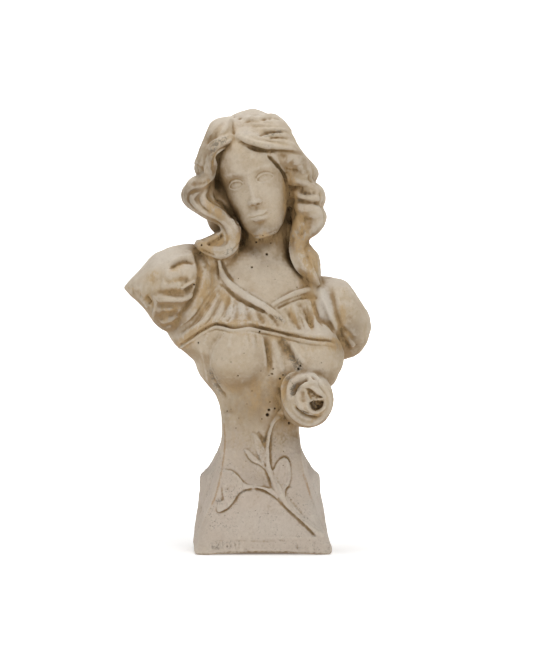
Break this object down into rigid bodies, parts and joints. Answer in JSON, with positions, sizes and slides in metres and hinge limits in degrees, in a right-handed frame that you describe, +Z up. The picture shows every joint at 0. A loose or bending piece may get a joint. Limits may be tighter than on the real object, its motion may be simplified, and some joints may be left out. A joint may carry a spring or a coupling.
{
  "type": "female bust",
  "caption": "Cast plaster bust of a woman with loose wavy hair, puffed sleeves and a rose, in one piece with a flared square plinth.",
  "frame": {"origin": "centre of the plinth's underside", "axes": "+Z up, -Y towards the viewer of the bust's front, +X to that viewer's right"},
  "size_m": [0.2796, 0.1639, 0.499],
  "materials": {
    "plaster": "matt aged plaster, cream on the high places and ochre to grey in the hollows"
  },
  "bodies": {
    "root": {"bust": "plaster"}
  },
  "joints": []
}
